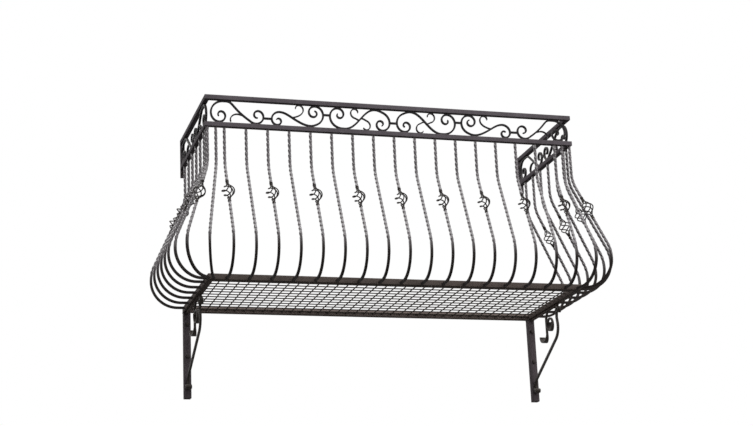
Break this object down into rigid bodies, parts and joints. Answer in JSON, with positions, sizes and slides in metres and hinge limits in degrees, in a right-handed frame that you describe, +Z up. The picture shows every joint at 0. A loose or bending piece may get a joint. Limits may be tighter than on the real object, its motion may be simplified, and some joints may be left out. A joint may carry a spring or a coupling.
{
  "type": "juliet balcony",
  "caption": "Wall-hung juliet balcony in dark wrought iron with bellied twisted balusters, basket twists, a scroll band under the handrail and a welded wire floor on scroll brackets.",
  "frame": {"origin": "middle of the wall face of the rear bar of the floor frame, at half its height", "axes": "+X along the wall to the viewer's right, +Y into the wall, +Z up"},
  "size_m": [2.3992, 0.9329, 1.457],
  "materials": {
    "bar_paint": "dark bronze paint, satin, lightly weathered",
    "rail_paint": "dark bronze paint, satin, dusty on the faces",
    "grid_paint": "dark bronze paint, dull"
  },
  "bodies": {
    "root": {"handrail_front": "rail_paint", "handrail_left": "rail_paint", "handrail_right": "rail_paint", "lower_rail_front": "rail_paint", "lower_rail_left": "rail_paint", "lower_rail_right": "rail_paint", "wall_bar_left": "bar_paint", "wall_bar_right": "bar_paint", "frieze_scroll_1": "bar_paint", "frieze_scroll_2": "bar_paint", "frieze_scroll_3": "bar_paint", "frieze_scroll_4": "bar_paint", "frieze_scroll_5": "bar_paint", "frieze_scroll_6": "bar_paint", "frieze_scrolls_left": "bar_paint", "frieze_scrolls_right": "bar_paint", "frieze_links": "bar_paint", "front_balusters_plain": "bar_paint", "front_balusters_basket": "bar_paint", "front_baskets": "bar_paint", "left_balusters_plain": "bar_paint", "left_balusters_basket": "bar_paint", "left_baskets": "bar_paint", "right_balusters_plain": "bar_paint", "right_balusters_basket": "bar_paint", "right_baskets": "bar_paint", "corner_baluster_left": "bar_paint", "corner_baluster_right": "bar_paint", "fan_balusters_left": "bar_paint", "fan_balusters_right": "bar_paint", "floor_frame_front": "bar_paint", "floor_frame_left": "bar_paint", "floor_frame_right": "bar_paint", "rear_ledger": "bar_paint", "floor_grid_left": "grid_paint", "floor_grid_right": "grid_paint", "bracket_leg_left": "bar_paint", "bracket_leg_right": "bar_paint", "bracket_arm_left": "bar_paint", "bracket_arm_right": "bar_paint", "bracket_brace_left": "bar_paint", "bracket_brace_right": "bar_paint", "bracket_scroll_left": "bar_paint", "bracket_scroll_right": "bar_paint"}
  },
  "joints": []
}
